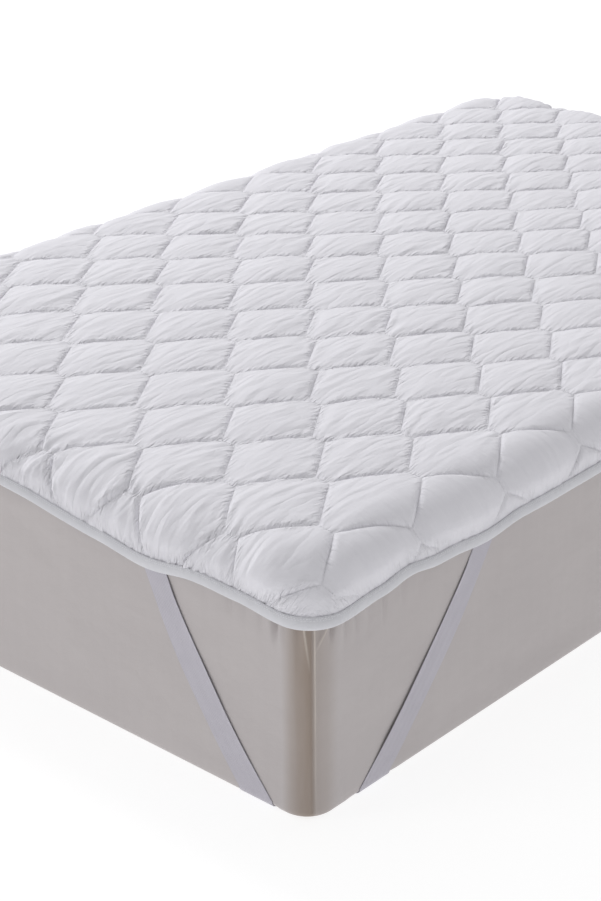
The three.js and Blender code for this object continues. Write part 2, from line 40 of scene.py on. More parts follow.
# everything is worked out in millimetres in the frame's axes and scaled on its way into a mesh
mattress = dict(
    halfWidth=600, halfLength=1000, depth=365, topEdge=76, bottomEdge=12, uprightCorner=45, topCorner=95)
lay = dict(
    topGap=0.3, sideGap=5, roll=74, seam=5, overhang=119, flatCorner=100, drapedCorner=50, cutCorner=150,
    eased=250, cornerDrop=5, dropReach=80, hem=3)
underRings = (92, 55, 20)  # depths of the panel's underside inwards from its edge
waves = dict(
    short=dict(rise=20, riseReach=262, dip=9, dipAt=315, dipReach=90, swell=2, swellAt=430),
    long=dict(rise=9, riseReach=520, dip=6, dipAt=650, dipReach=80, swell=7, swellAt=825),
    swellReach=65)

# the camera stands where the photograph was taken from
camera = dict(
    place=(2.0865, -2.7535, 1.6003), azimuth=0.711, down=0.432, roll=0.011, focal=2123.4, imageHeight=901,
    sensor=36, farClip=100)


def setCamera(c):
    across, ahead = math.cos(c["azimuth"]), math.sin(c["azimuth"])
    level = math.cos(c["down"])
    forward = Vector((-ahead * level, across * level, -math.sin(c["down"])))
    right = Vector((across, ahead, 0))
    up = right.cross(forward)
    rollCos, rollSin = math.cos(c["roll"]), math.sin(c["roll"])
    right, up = rollCos * right + rollSin * up, rollCos * up - rollSin * right
    data = bpy.data.cameras.new("camera")
    data.sensor_fit = "VERTICAL"
    data.sensor_height = c["sensor"]
    data.lens = c["focal"] / c["imageHeight"] * c["sensor"]
    data.clip_end = c["farClip"]
    obj = bpy.data.objects.new("camera", data)
    turn = Matrix((right, up, -forward)).transposed().to_4x4()
    obj.matrix_world = Matrix.Translation(c["place"]) @ turn
    bpy.context.scene.collection.objects.link(obj)
    bpy.context.scene.camera = obj


setCamera(camera)
print("stage: camera")


# a shader socket as a value: sums and products on it add their nodes
class Wire:
    def __init__(self, tree, socket=None):
        self.tree, self.socket = tree, socket

    def make(self, kind, settings=None, inputs=None, out=0):
        node = self.tree.nodes.new("ShaderNode" + kind)
        for name, value in (settings or {}).items():
            if name == "stops":
                stops = node.color_ramp.elements
                while len(stops) > 1:
                    stops.remove(stops[-1])
                for i, (place, colour) in enumerate(value):
                    stop = stops[0] if i == 0 else stops.new(place)
                    stop.position, stop.color = place, (*colour, 1)
            else:
                setattr(node, name, value)
        for name, value in (inputs or {}).items():
            if isinstance(value, Wire):
                self.tree.links.new(value.socket, node.inputs[name])
            else:
                node.inputs[name].default_value = value
        return Wire(self.tree, node.outputs[out])

    def math(self, operation, *values):
        return self.make("Math", {"operation": operation}, dict(enumerate(values)))

    def __add__(self, other):
        return self.math("ADD", self, other)

    def __sub__(self, other):
        return self.math("SUBTRACT", self, other)

    def __rsub__(self, other):
        return self.math("SUBTRACT", other, self)

    def __mul__(self, other):
        return self.math("MULTIPLY", self, other)

    def size(self):
        return self.math("ABSOLUTE", self)

    __radd__ = __add__
    __rmul__ = __mul__

    def clamped(self):
        return self.make("Clamp", None, {0: self})

    def mix(self, first, second):  # colours, by this value
        return self.make("Mix", {"data_type": "RGBA"}, {0: self, 6: first, 7: second}, out=2)

    def blend(self, first, second):  # numbers, by this value
        return self.make("Mix", {"data_type": "FLOAT"}, {0: self, 2: first, 3: second})

    def scaled(self, factors):  # a vector, stretched
        return self.make("VectorMath", {"operation": "MULTIPLY"}, {0: self, 1: factors})

    def noise(self, scale, detail=2.0, rough=0.5):
        values = {"Vector": self, "Scale": scale, "Detail": detail, "Roughness": rough}
        return self.make("TexNoise", None, values)

    def bands(self, way, scale, distortion):
        values = {"Vector": self, "Scale": scale, "Distortion": distortion}
        return self.make("TexWave", {"wave_type": "BANDS", "bands_direction": way}, values)


def clothMaterial(name, build):
    material = bpy.data.materials.new(name)
    material.use_nodes = True
    tree = material.node_tree
    tree.nodes.clear()
    start = Wire(tree)
    values = build(start)
    shader = start.make("BsdfPrincipled", None, values)
    output = tree.nodes.new("ShaderNodeOutputMaterial")
    tree.links.new(shader.socket, output.inputs["Surface"])
    return material


def attribute(start, name):
    return start.make("Attribute", {"attribute_name": name}, None, out=1)


def parts(vector):
    node = vector.make("SeparateXYZ", None, {0: vector})
    outs = node.socket.node.outputs
    return [Wire(vector.tree, outs[i]) for i in range(3)]


def bumped(start, height, strength, distance, below=None):
    inputs = {"Strength": strength, "Distance": distance, "Height": height}
    if below is not None:
        inputs["Normal"] = below
    return start.make("Bump", None, inputs)


# meshes from arrays of points in millimetres
def makeMesh(name, points, faces, material, attributes=None):
    mesh = bpy.data.meshes.new(name)
    mesh.from_pydata((np.asarray(points) * 0.001).tolist(), [], faces)
    mesh.polygons.foreach_set("use_smooth", np.ones(len(mesh.polygons), bool))
    for key, values in (attributes or {}).items():
        layer = mesh.attributes.new(key, "FLOAT_VECTOR", "POINT")
        layer.data.foreach_set("vector", (np.asarray(values, np.float32) * 0.001).ravel())
    mesh.materials.append(material)
    mesh.validate()
    mesh.update()
    obj = bpy.data.objects.new(name, mesh)
    bpy.context.scene.collection.objects.link(obj)
    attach(obj, "root")
    return obj


def bridge(first, second):
    nextFirst, nextSecond = np.roll(first, -1), np.roll(second, -1)
    return np.stack([first, nextFirst, nextSecond, second], 1).tolist()


def smooth(t):
    t = np.clip(t, 0, 1)
    return t * t * (3 - 2 * t)


def hump(distance, reach):  # 1 in the middle, 0 from the reach onwards
    return np.cos(np.minimum(np.abs(distance) / reach, 1) * quarterTurn) ** 2


# a smooth noise made of waves in seeded directions, of about unit size
def rippleSet(count, lengths, angles, seed):
    picker = np.random.default_rng(seed)
    length = picker.uniform(*lengths, count)
    angle = picker.uniform(*angles, count)
    phase = picker.uniform(0, 2 * math.pi, count)
    return np.stack([np.cos(angle) / length, np.sin(angle) / length, phase], 1)


def ripples(x, y, waveSet):
    total = np.zeros_like(x)
    for kx, ky, phase in waveSet:
        total += np.sin(2 * math.pi * (kx * x + ky * y) + phase)
    return total / math.sqrt(len(waveSet) / 2)


def valueNoise(x, y, seed):
    cornerX, cornerY = np.floor(x).astype(np.int64), np.floor(y).astype(np.int64)
    fx, fy = smooth(x - cornerX), smooth(y - cornerY)

    def pick(i, j):
        h = (i * 374761393 + j * 668265263 + seed * 974634777) & 0xFFFFFFFF
        h = ((h ^ (h >> 13)) * 1274126177) & 0xFFFFFFFF
        return ((h ^ (h >> 16)) & 0xFFFF) / 32767.5 - 1

    low = pick(cornerX, cornerY) * (1 - fx) + pick(cornerX + 1, cornerY) * fx
    high = pick(cornerX, cornerY + 1) * (1 - fx) + pick(cornerX + 1, cornerY + 1) * fx
    return low * (1 - fy) + high * fy


# how cloth lies on the mattress: flat places (u, v) in, draped points out
flatHalfX = mattress["halfWidth"] + lay["sideGap"] - lay["roll"]
flatHalfY = mattress["halfLength"] + lay["sideGap"] - lay["roll"]
rollCentre = mattress["depth"] + lay["topGap"] - lay["roll"]
growth = (lay["cutCorner"] - lay["flatCorner"]) / lay["overhang"]


def placeOnPanel(u, v):
    pastX, pastY = np.abs(u) - flatHalfX, np.abs(v) - flatHalfY
    p, q = pastX + lay["flatCorner"], pastY + lay["flatCorner"]
    shift = 1 - growth
    straight = np.maximum(pastX, pastY)
    a = 2 * shift ** 2 - growth ** 2
    b = shift * (p + q) + growth * lay["flatCorner"]
    c = p * p + q * q - lay["flatCorner"] ** 2
    bent = (b - np.sqrt(np.maximum(b * b - a * c, 0))) / a
    inCorner = (p > shift * straight) & (q > shift * straight)
    angle = np.arctan2(q - shift * bent, p - shift * bent)
    return np.where(inCorner, bent, straight), np.clip(angle, 0, quarterTurn), pastX > pastY, inCorner


def sideRise(travel, w):
    rise = w["rise"] * hump(travel, w["riseReach"])
    dip = w["dip"] * hump(travel - w["dipAt"], w["dipReach"])
    swell = w["swell"] * hump(travel - w["swellAt"], waves["swellReach"])
    return rise - dip + swell


def undersidePoint(u, v):
    depth, angle, onLong, inCorner = placeOnPanel(u, v)
    isLong = np.where(inCorner, angle < quarterTurn / 2, onLong)
    half = np.where(isLong, flatHalfY, flatHalfX)
    past = np.maximum(depth, 0)
    layoutRadius = lay["flatCorner"] + growth * past
    cornerTravel = half + past - layoutRadius + layoutRadius * np.where(isLong, angle, quarterTurn - angle)
    travel = np.where(inCorner, cornerTravel, np.where(isLong, np.abs(v), np.abs(u)))
    rise = np.where(isLong, sideRise(travel, waves["long"]), sideRise(travel, waves["short"]))
    rise = rise - lay["cornerDrop"] * smooth((travel - half + lay["dropReach"] / 2) / lay["dropReach"])
    pulled = past * (1 - rise / lay["overhang"])
    outer = lay["roll"] + lay["seam"]
    turn = np.minimum(pulled / outer, quarterTurn)
    height = rollCentre + lay["roll"] * np.cos(turn) - np.maximum(pulled - outer * quarterTurn, 0)
    outward = lay["roll"] * np.sin(turn)
    radius = lay["flatCorner"] - (lay["flatCorner"] - lay["drapedCorner"]) * np.sin(turn)
    easedFrom = half - lay["eased"]
    layoutEnd = half + past + layoutRadius * (quarterTurn / 2 - 1)
    drapedEnd = half + outward + radius * (quarterTurn / 2 - 1)
    stretch = (drapedEnd - easedFrom) / (layoutEnd - easedFrom)
    drapedTravel = np.where(travel < easedFrom, travel, easedFrom + (travel - easedFrom) * stretch)
    roundFrom = half + outward - radius
    roundAngle = np.maximum(drapedTravel - roundFrom, 0) / radius
    along = np.minimum(drapedTravel, roundFrom) + radius * np.sin(roundAngle)
    out = np.where(isLong, flatHalfX, flatHalfY) + outward - radius * (1 - np.cos(roundAngle))
    x = np.where(depth > 0, np.where(isLong, out, along), np.abs(u)) * np.sign(u)
    y = np.where(depth > 0, np.where(isLong, along, out), np.abs(v)) * np.sign(v)
    return np.stack([x, y, height], -1)


def unit(vectors):
    return vectors / np.maximum(np.linalg.norm(vectors, axis=-1, keepdims=True), 1e-9)


def drape(u, v, thickness):
    alongU = undersidePoint(u + 0.5, v) - undersidePoint(u - 0.5, v)
    alongV = undersidePoint(u, v + 0.5) - undersidePoint(u, v - 0.5)
    normal = unit(np.cross(alongU, alongV))
    return undersidePoint(u, v) + normal * np.asarray(thickness)[..., None], normal


def ringStations(cornerSteps, shortSteps, longSteps):
    rows = []
    for quarter in range(4):
        rows += [(quarter, (quarter + i / cornerSteps) * quarterTurn, -1) for i in range(cornerSteps + 1)]
        steps = shortSteps if quarter % 2 == 0 else longSteps
        rows += [(quarter, (quarter + 1) * quarterTurn, i / steps) for i in range(1, steps)]
    return np.array(rows)


cornerSigns = np.array([[1, 1], [-1, 1], [-1, -1], [1, -1]])


def outline(stations, halfX, halfY, radius):
    quarter = stations[:, 0].astype(int)
    angle, along = stations[:, 1], np.maximum(stations[:, 2], 0)[:, None]
    arm = np.stack([np.cos(angle), np.sin(angle)], 1) * np.broadcast_to(radius, len(angle))[:, None]
    inset = np.stack([np.broadcast_to(half - radius, len(angle)) for half in (halfX, halfY)], 1)
    here, there = cornerSigns[quarter] * inset, cornerSigns[(quarter + 1) % 4] * inset
    return (here + arm) * (1 - along) + (there + arm) * along


def layoutRing(stations, depth):
    flat = outline(stations, flatHalfX + depth, flatHalfY + depth, lay["flatCorner"] + growth * depth)
    return flat[:, 0], flat[:, 1]


# quilting: a honeycomb in pattern places (x, y), wandered to the cloth's flat places (u, v)
quilt = dict(
    halfWidth=82.3, halfLength=90.5, bar=23, firstBar=(-154.8, -670.8), crown=9.8, domePower=0.42, rim=3.5,
    skewX=0.04, skewY=-0.015, bowX=21, fanX=-92, tiltX=-20, bowY=-23, fanY=27, tiltY=38,
    columns=22, rows=10, slot=14.5, puffReach=26)

# junctions near one corner that the strap has drawn along: place, shift and reach
drawnPlaces = ((585, -945, -24, 20, 55), (510, -1040, -20, 0, 60), (503, -852, 8, -13, 50))


def wandered(x, y):
    a, b = x / 1000, y / 1000
    u = x + quilt["skewX"] * y + quilt["bowX"] * b * b + quilt["fanX"] * a * b + quilt["tiltX"] * a * a
    v = y + quilt["skewY"] * x + quilt["bowY"] * b * b + quilt["fanY"] * a * b + quilt["tiltY"] * a * a
    for placeX, placeY, shiftX, shiftY, reach in drawnPlaces:
        pull = np.exp(-((x - placeX) ** 2 + (y - placeY) ** 2) / (2 * reach ** 2))
        u, v = u + pull * shiftX, v + pull * shiftY
    return u, v


def seamPlace(x, y):  # distance to the nearest seam, rise of the filling from 0 to 1, number of the cell
    w, h, bar = quilt["halfWidth"], quilt["halfLength"], quilt["bar"]
    column, row = (x - quilt["firstBar"][0]) / w, (y - quilt["firstBar"][1]) / h
    slant = math.hypot(w - bar, h)
    reach = (w - bar / 2) * h / slant
    best = np.full(x.shape, -1e9)
    rise, cell = np.zeros_like(x), np.zeros_like(x)
    for di in (0, 1):
        for dj in (0, 1):
            i, j = np.floor(column) + di, np.floor(row) + dj
            dx, dy = (column - i) * w, (row - j) * h
            first = (dx * h + dy * (w - bar)) / slant / reach
            second = (dx * h - dy * (w - bar)) / slant / reach
            third = dy / h
            room = np.minimum((1 - np.maximum(np.abs(first), np.abs(second))) * reach, h - np.abs(dy))
            room = np.where((i + j) % 2 == 1, room, -1e9)
            dome = np.maximum(1 - first ** 2, 0) * np.maximum(1 - second ** 2, 0)
            dome = dome * np.maximum(1 - third ** 2, 0)
            better = room > best
            best = np.where(better, room, best)
            rise = np.where(better, dome ** quilt["domePower"], rise)
            cell = np.where(better, i * 61 + j * 17, cell)
    return np.maximum(best, 0), rise, cell


# creases: lean from the way of +v towards +u, gap between them, length, height
creases = dict(
    top=dict(lean=-0.12, gap=11, length=75, height=1.15),
    short=dict(lean=-0.40, leanReach=300, gap=10.5, length=95, height=3.1),
    long=dict(lean=0.64, leanReach=700, gap=15, length=90, height=1.2),
    fineGap=6.5, fineLength=34, fineHeight=0.7, bend=12, ripple=6, seamReach=16)
gathers = dict(shortHeight=2.9, longHeight=1.0, shortGap=6.5, longGap=12, length=60, reach=26, lean=0.35)
swellRipples = rippleSet(8, (160, 420), (0, math.pi), 11)


def creaseField(across, along, gap, length, seed):  # rounded ridges with narrow valleys between them
    wave = valueNoise(across / gap, along / length, seed)
    return (np.sqrt(wave * wave + 0.01) - 0.34) * 2.6


def sideShares(u, v):  # how much a place belongs to the fall over a short side and over a long side
    pastX, pastY = np.abs(u) - flatHalfX, np.abs(v) - flatHalfY
    overLong = smooth((pastX - np.maximum(pastY, 0) + 35) / 70)
    overShort = smooth((pastY + 70) / 130) * (1 - overLong)
    return overShort, overLong


def creaseHeight(u, v, distance, cell):
    overShort, overLong = sideShares(u, v)
    bend = creases["bend"] * valueNoise(u / 120, v / 150, 61)
    bend = bend + creases["ripple"] * valueNoise(u / 38, v / 48, 67) + 29 * cell
    turned = 0.15 * np.sin(cell * 1.7)
    nearSeam = np.exp(-distance / creases["seamReach"])
    total = np.zeros_like(u)
    pastX, pastY = (np.abs(u) - flatHalfX) * np.sign(u), (np.abs(v) - flatHalfY) * np.sign(v)
    top, short, long = creases["top"], creases["short"], creases["long"]
    shortLean = -short["lean"] * np.clip(u / short["leanReach"], -1, 1) * np.sign(v)
    longLean = quarterTurn - long["lean"] * np.clip(v / long["leanReach"], -1, 1) * np.sign(u)
    zones = (
        (top, 1 - overShort - overLong, u, v, top["lean"] + turned, 3),
        (short, overShort, u, pastY, shortLean + turned, 5),
        (long, overLong, pastX, v, longLean + turned, 7))
    for zone, share, a, b, lean, seed in zones:
        across = a * np.cos(lean) - b * np.sin(lean) + bend
        along = a * np.sin(lean) + b * np.cos(lean)
        field = creaseField(across, along, zone["gap"], zone["length"], seed) * (0.62 + 0.75 * nearSeam)
        fine = creaseField(across, along, creases["fineGap"], creases["fineLength"], seed + 1)
        total += share * zone["height"] * (field + fine * creases["fineHeight"] * nearSeam)
    uneven = 0.6 + 0.6 * smooth(valueNoise(u / 170, v / 140, 51) * 0.9 + 0.5)
    return total * uneven * smooth(distance / 5)


def quiltThickness(x, y, u, v):
    distance, rise, cell = seamPlace(x, y)
    plump = 1 + 0.10 * np.sin(cell * 2.39) + 0.05 * ripples(u, v, swellRipples)
    thick = lay["seam"] + quilt["crown"] * plump * rise + creaseHeight(u, v, distance, cell)
    return thick, distance


def closerAtEnds(count, share):  # steps from 0 to 1, closer together by the seams
    even = np.arange(count) / count
    return share * (0.5 - 0.5 * np.cos(np.pi * even)) + (1 - share) * even


def padGrid():
    w, h = quilt["halfWidth"], quilt["halfLength"]
    x0, y0 = quilt["firstBar"]
    reachX, reachY = flatHalfX + lay["overhang"] + 2 * w, flatHalfY + lay["overhang"] + 2 * h
    strips = np.arange(math.floor((-reachX - x0) / w), math.ceil((reachX - x0) / w) + 1)
    halves = np.arange(math.floor((-reachY - y0) / h), math.ceil((reachY - y0) / h) + 1)
    swing = (w - quilt["bar"]) / 2
    across = closerAtEnds(quilt["columns"], 0.55)
    step = closerAtEnds(quilt["rows"], 0.5)
    half = (halves[:, None] + step[None, :]).ravel()
    low, share = np.floor(half + 1e-9), half - np.floor(half + 1e-9)

    def zigzag(strip):
        sign = np.where((strip + low) % 2 == 0, 1, -1)
        return (strip + 0.5) * w - swing * sign * (1 - 2 * share)

    xs = [zigzag(s - 1)[:, None] * (1 - across) + zigzag(s)[:, None] * across for s in strips]
    xs = np.concatenate(xs, 1)
    ys = np.repeat((half * h)[:, None], xs.shape[1], 1)
    return x0 + xs, y0 + ys


def pulledToDepth(u, v, target, chosen):
    u, v = u.copy(), v.copy()
    for _ in range(6):
        depth = placeOnPanel(u, v)[0]
        slopeU = (placeOnPanel(u + 0.5, v)[0] - placeOnPanel(u - 0.5, v)[0])
        slopeV = (placeOnPanel(u, v + 0.5)[0] - placeOnPanel(u, v - 0.5)[0])
        step = np.where(chosen, (target - depth) / np.maximum(slopeU ** 2 + slopeV ** 2, 0.3), 0)
        u, v = u + step * slopeU, v + step * slopeV
    return u, v


def buildPad(material):
    x, y = padGrid()
    u, v = wandered(x, y)
    edgeDepth = lay["overhang"] - lay["hem"]
    depth = placeOnPanel(u, v)[0]
    inside = depth < edgeDepth
    reach = placeOnPanel(u, v)[0] < edgeDepth + 25
    near = np.abs(depth - edgeDepth) < 2.2
    clamped = (~inside & reach) | (near & inside)
    u, v = pulledToDepth(u, v, edgeDepth, clamped)
    core = inside & ~clamped
    number = np.arange(x.size).reshape(x.shape)
    quads = np.stack([number[:-1, :-1], number[:-1, 1:], number[1:, 1:], number[1:, :-1]], -1).reshape(-1, 4)
    quads = quads[core.ravel()[quads].any(1)]
    used, quads = np.unique(quads, return_inverse=True)
    quads = quads.reshape(-1, 4)
    px, py, pu, pv = (a.ravel()[used] for a in (x, y, u, v))
    thick, distance = quiltThickness(px, py, pu, pv)
    pd = placeOnPanel(pu, pv)[0]
    fromSlot = lay["overhang"] - quilt["slot"] - pd
    puff = smooth(fromSlot / quilt["puffReach"])
    overLong = sideShares(pu, pv)[1]
    g = gathers
    acrossShort = pu + g["lean"] * pd + 5 * valueNoise(pu / 40, pd / 30, 33)
    acrossLong = pv + 8 * valueNoise(pv / 60, pd / 30, 35)
    gatherShort = creaseField(acrossShort, pd, g["shortGap"], g["length"], 31) * g["shortHeight"]
    gatherLong = creaseField(acrossLong, pd, g["longGap"], g["length"], 37) * g["longHeight"]
    gather = gatherShort * (1 - overLong) + gatherLong * overLong
    travel = np.where(overLong > 0.5, pv, pu)
    gather *= np.exp(-np.maximum(fromSlot, 0) / g["reach"]) * smooth((fromSlot + 3) / 7)
    gather *= 0.45 + 0.8 * smooth(valueNoise(travel / 55, pd * 0 + 0.5, 77) + 0.5)
    thick = quilt["rim"] + (thick - quilt["rim"]) * puff + gather
    points, _ = drape(pu, pv, thick)
    # the outer loop, then rings of the underside inwards from it
    edges = {}
    for quad in quads:
        for a, b in zip(quad, np.roll(quad, -1)):
            edges[(a, b)] = True
    follow = {a: b for (a, b) in edges if (b, a) not in edges}
    start = next(iter(follow))
    loop = [start]
    while follow[loop[-1]] != start:
        loop.append(follow[loop[-1]])
    loop = np.array(loop)
    faces = quads.tolist()
    ring, ru, rv = loop, pu[loop], pv[loop]
    allPoints, flats = [points], [np.stack([pu, pv, thick], 1)]
    seams = [np.stack([distance, overLong * 1000, puff * 1000], 1)]
    count = len(points)
    for target in (edgeDepth, *underRings):
        ru, rv = pulledToDepth(ru, rv, target, np.ones(len(ru), bool))
        under, _ = drape(ru, rv, np.zeros(len(ru)))
        newRing = count + np.arange(len(ru))
        count += len(ru)
        faces += bridge(newRing, ring)
        allPoints.append(under)
        flats.append(np.stack([ru, rv, ru * 0], 1))
        seams.append(np.stack([ru * 0 + 50, ru * 0, ru * 0], 1))
        ring = newRing
    faces.append(ring[::-1].tolist())
    pad = makeMesh("quilted_panel", np.concatenate(allPoints), faces, material,
                   {"flat": np.concatenate(flats), "seam": np.concatenate(seams)})
    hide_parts("pad")
    print("stage: quilted panel,", len(quads) * 2, "triangles on top,", len(loop), "points round")
    return pad


def quiltedCloth(start):
    flat = attribute(start, "flat")
    distance, overLong, puff = parts(attribute(start, "seam"))
    downShort, downLong = flat.scaled((1, 0.22, 0)), flat.scaled((0.22, 1, 0))
    crease = overLong.blend((downShort.noise(44, 2, 0.4) - 0.5).size(), downLong.noise(55, 2, 0.4) * 0.5)
    puckerShort = (downShort.noise(125, 2, 0.5) - 0.5).size()
    puckerLong = (downLong.noise(110, 2, 0.5) - 0.5).size() * 0.6
    pucker = overLong.blend(puckerShort, puckerLong)
    groove = (distance * 170).clamped()
    nearSeam = 1 - (distance * 70).clamped()
    nearRim = 1 - puff
    tuck = pucker * (nearSeam + nearRim).clamped()
    crumple = flat.scaled((1, 0.6, 0)).noise(170, 3, 0.6)
    warp = flat.bands("X", 420, 0.4)
    weft = flat.bands("Y", 420, 0.4)
    normal = bumped(start, warp + weft, 0.1, 0.0003)
    normal = bumped(start, crumple, 0.3, 0.0012, normal)
    normal = bumped(start, crease, 0.7, 0.0105, normal)
    normal = bumped(start, groove, 0.35, 0.002, normal)
    normal = bumped(start, tuck, 0.9, 0.0125, normal)
    shade = (flat.noise(7, 2) * 0.6 + crumple * 0.4).clamped()
    colour = shade.mix((0.80, 0.79, 0.84, 1), (0.86, 0.85, 0.90, 1))
    return {"Base Color": colour, "Roughness": 0.85, "Sheen Weight": 0.15, "Sheen Roughness": 0.5,
            "Specular IOR Level": 0.2, "Normal": normal}


padMaterial = clothMaterial("quiltedCloth", quiltedCloth)
pad = buildPad(padMaterial)


# stitches are short threads that dip into the cloth at their ends
thread = dict(
    pitch=4.6, length=3.5, radius=0.42, lift=0.35, reach=(700, 1100),
    rows=(-12.6, -10.4), rowPitch=4.0, rowLength=3.0, rowRadius=0.4)


def between(table, way, places):  # rows of the table at these places along the way
    return np.stack([np.interp(places, way, table[:, k]) for k in range(3)], 1)


def stitches(name, runs, pitch, length, radius, material):
    starts, ends, ups = [], [], []
    for points, normals in runs:
        step = np.linalg.norm(np.diff(points, axis=0), axis=1)
        way = np.concatenate([[0], np.cumsum(step)])
        places = np.arange(pitch / 2, way[-1] - length, pitch)
        starts.append(between(points, way, places))
        ends.append(between(points, way, places + length))
        ups.append(unit(between(normals, way, places + length / 2)))
    a, b, up = np.concatenate(starts), np.concatenate(ends), np.concatenate(ups)
    ahead = unit(b - a)
    side = np.cross(ahead, up)
    third = (b - a) / 4
    rings = []
    for centre in (a + third, b - third):
        rings += [centre + side * radius, centre + up * radius, centre - side * radius, centre - up * radius]
    points = np.stack([a - up * radius * 0.5, *rings, b - up * radius * 0.5], 1).reshape(-1, 3)
    first = np.arange(len(a))[:, None] * 10
    faces = []
    for k in range(4):
        n = (k + 1) % 4
        faces += (first + np.array([[0, 1 + n, 1 + k]])).tolist()
        faces += (first + np.array([[1 + k, 1 + n, 5 + n, 5 + k]])).tolist()
        faces += (first + np.array([[5 + k, 5 + n, 9]])).tolist()
    return makeMesh(name, points, faces, material)


def threadFinish(start):
    place = start.make("TexCoord", None, None, out=3)
    twist = place.noise(2600, 1)
    colour = place.noise(40, 1).mix((0.78, 0.78, 0.82, 1), (0.88, 0.88, 0.91, 1))
    normal = bumped(start, twist, 0.4, 0.0002)
    return {"Base Color": colour, "Roughness": 0.6, "Sheen Weight": 0.2, "Normal": normal}


threadMaterial = clothMaterial("sewingThread", threadFinish)


def seamRuns():
    w, h = quilt["halfWidth"], quilt["halfLength"]
    x0, y0 = quilt["firstBar"]
    reachX, reachY = thread["reach"][0] + w, thread["reach"][1] + h
    runs = []
    for n in range(math.floor((-reachX - x0) / w), math.ceil((reachX - x0) / w)):
        for m in range(math.floor((-reachY - y0) / h) - 1, math.ceil((reachY - y0) / h)):
            if (n + m) % 2:
                continue
            bx, by = x0 + n * w, y0 + m * h
            half = quilt["bar"] / 2
            segments = [((bx - half, by), (bx + half, by))]
            segments += [((bx + side * half, by), (bx + side * (w - half), by + h)) for side in (-1, 1)]
            for (ax, ay), (cx, cy) in segments:
                t = np.linspace(0.01, 0.99, 24)
                x, y = ax + (cx - ax) * t, ay + (cy - ay) * t
                u, v = wandered(x, y)
                depth = placeOnPanel(u, v)[0]
                keep = depth < lay["overhang"] - quilt["slot"] - 2
                if keep.sum() < 3:
                    continue
                x, y, u, v, depth = (k[keep] for k in (x, y, u, v, depth))
                thick, _ = quiltThickness(x, y, u, v)
                puff = smooth((lay["overhang"] - quilt["slot"] - depth) / quilt["puffReach"])
                thick = quilt["rim"] + (thick - quilt["rim"]) * puff
                runs.append(drape(u, v, thick + thread["lift"]))
    return runs


quiltThread = stitches(
    "quilting_thread", seamRuns(), thread["pitch"], thread["length"], thread["radius"], threadMaterial)
print("stage: quilting thread,", len(quiltThread.data.polygons), "faces")


# binding tape: down is the way past the panel's rim, out the way off its underside
# the tape's section, as places down from the panel's edge and outward from the mattress
tape = dict(corner=44, short=190, long=300, edgeWave=0.5, gather=0.4, seat=5.8, section=(
    (-13.6, 4.1), (-14.4, 4.25), (-14.6, 4.6), (-13.9, 5.0), (-12.6, 5.2), (-11.5, 5.75), (-10.4, 5.5),
    (-9.2, 6.0), (-7.0, 6.4), (-4.0, 6.6), (-0.8, 6.4), (1.1, 5.6), (2.1, 4.2), (2.4, 2.4), (2.0, 0.7),
    (1.0, -0.7), (-1.0, -1.3), (-5.0, -1.55), (-9.0, -1.55), (-11.2, -1.4), (-11.5, -1.0), (-11.0, -0.65),
    (-5.0, -0.6), (0.2, -0.4), (0.9, 1.6), (0.5, 3.9), (-4.0, 4.15), (-9.0, 4.15)))


edgeWaves = ((23, 0.4), (37, 2.2), (61, 4.0))  # slow waves round the edge, and where each starts


def ringTravel(points):
    step = np.linalg.norm(np.roll(points, -1, 0) - points, axis=1)
    return np.concatenate([[0], np.cumsum(step)[:-1]]), step.sum()


def buildBinding(material):
    stations = ringStations(tape["corner"], tape["short"], tape["long"])
    base, _ = drape(*layoutRing(stations, lay["overhang"]), np.zeros(len(stations)))
    travel, whole = ringTravel(base)
    picker = np.random.default_rng(41)
    lengths = picker.uniform(7, 16, 14)
    waveTable = [(round(whole / length), picker.uniform(0, 6.28)) for length in lengths]
    gather = sum(np.sin(2 * math.pi * k * travel / whole + p) for k, p in waveTable) / 2.6
    slow = sum(np.sin(2 * math.pi * k * travel / whole + p) for k, p in edgeWaves) / 1.7
    rings, flats = [], []
    for down, out in tape["section"]:
        outerness = max(0, (out - 3) / 3.5)
        upper = math.exp(-((down + 12.5) / 5) ** 2)
        shift = slow * tape["edgeWave"] * (0.4 + 0.6 * (down > 0))
        push = gather * tape["gather"] * outerness * (0.35 + upper)
        u, v = layoutRing(stations, lay["overhang"] + down)
        points, _ = drape(u, v, out + push)
        points[:, 2] -= shift * 0.7
        rings.append(points)
        flats.append(np.stack([travel, travel * 0 + down, travel * 0 + out], 1))
    count = len(stations)
    faces = []
    for k in range(len(rings)):
        here, there = np.arange(count) + k * count, np.arange(count) + (k + 1) % len(rings) * count
        faces += bridge(there, here)
    points, marks = np.concatenate(rings), {"flat": np.concatenate(flats)}
    binding = makeMesh("binding_tape", points, faces, material, marks)
    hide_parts("binding")
    runs = []
    for down in thread["rows"]:
        u, v = layoutRing(stations, lay["overhang"] + down)
        points, normals = drape(u, v, tape["seat"] + gather * tape["gather"] * 0.8)
        points[:, 2] -= slow * tape["edgeWave"] * 0.28
        runs.append((np.concatenate([points, points[:1]]), np.concatenate([normals, normals[:1]])))
    return binding, runs


def tapeFinish(start):
    flat = attribute(start, "flat")
    ribs = flat.bands("X", 260, 0.6)
    crumple = flat.scaled((1, 0.5, 0.5)).noise(140, 3, 0.6)
    shade = flat.noise(22, 2)
    colour = shade.mix((0.64, 0.64, 0.68, 1), (0.73, 0.73, 0.765, 1))
    normal = bumped(start, crumple, 0.6, 0.0022, bumped(start, ribs, 0.25, 0.0003))
    return {"Base Color": colour, "Roughness": 0.75, "Sheen Weight": 0.2, "Specular IOR Level": 0.3,
            "Normal": normal}


binding, bindingRuns = buildBinding(clothMaterial("bindingTape", tapeFinish))
bindingThread = stitches(
    "binding_thread", bindingRuns, thread["rowPitch"], thread["rowLength"], thread["rowRadius"],
    threadMaterial)
print("stage: binding")


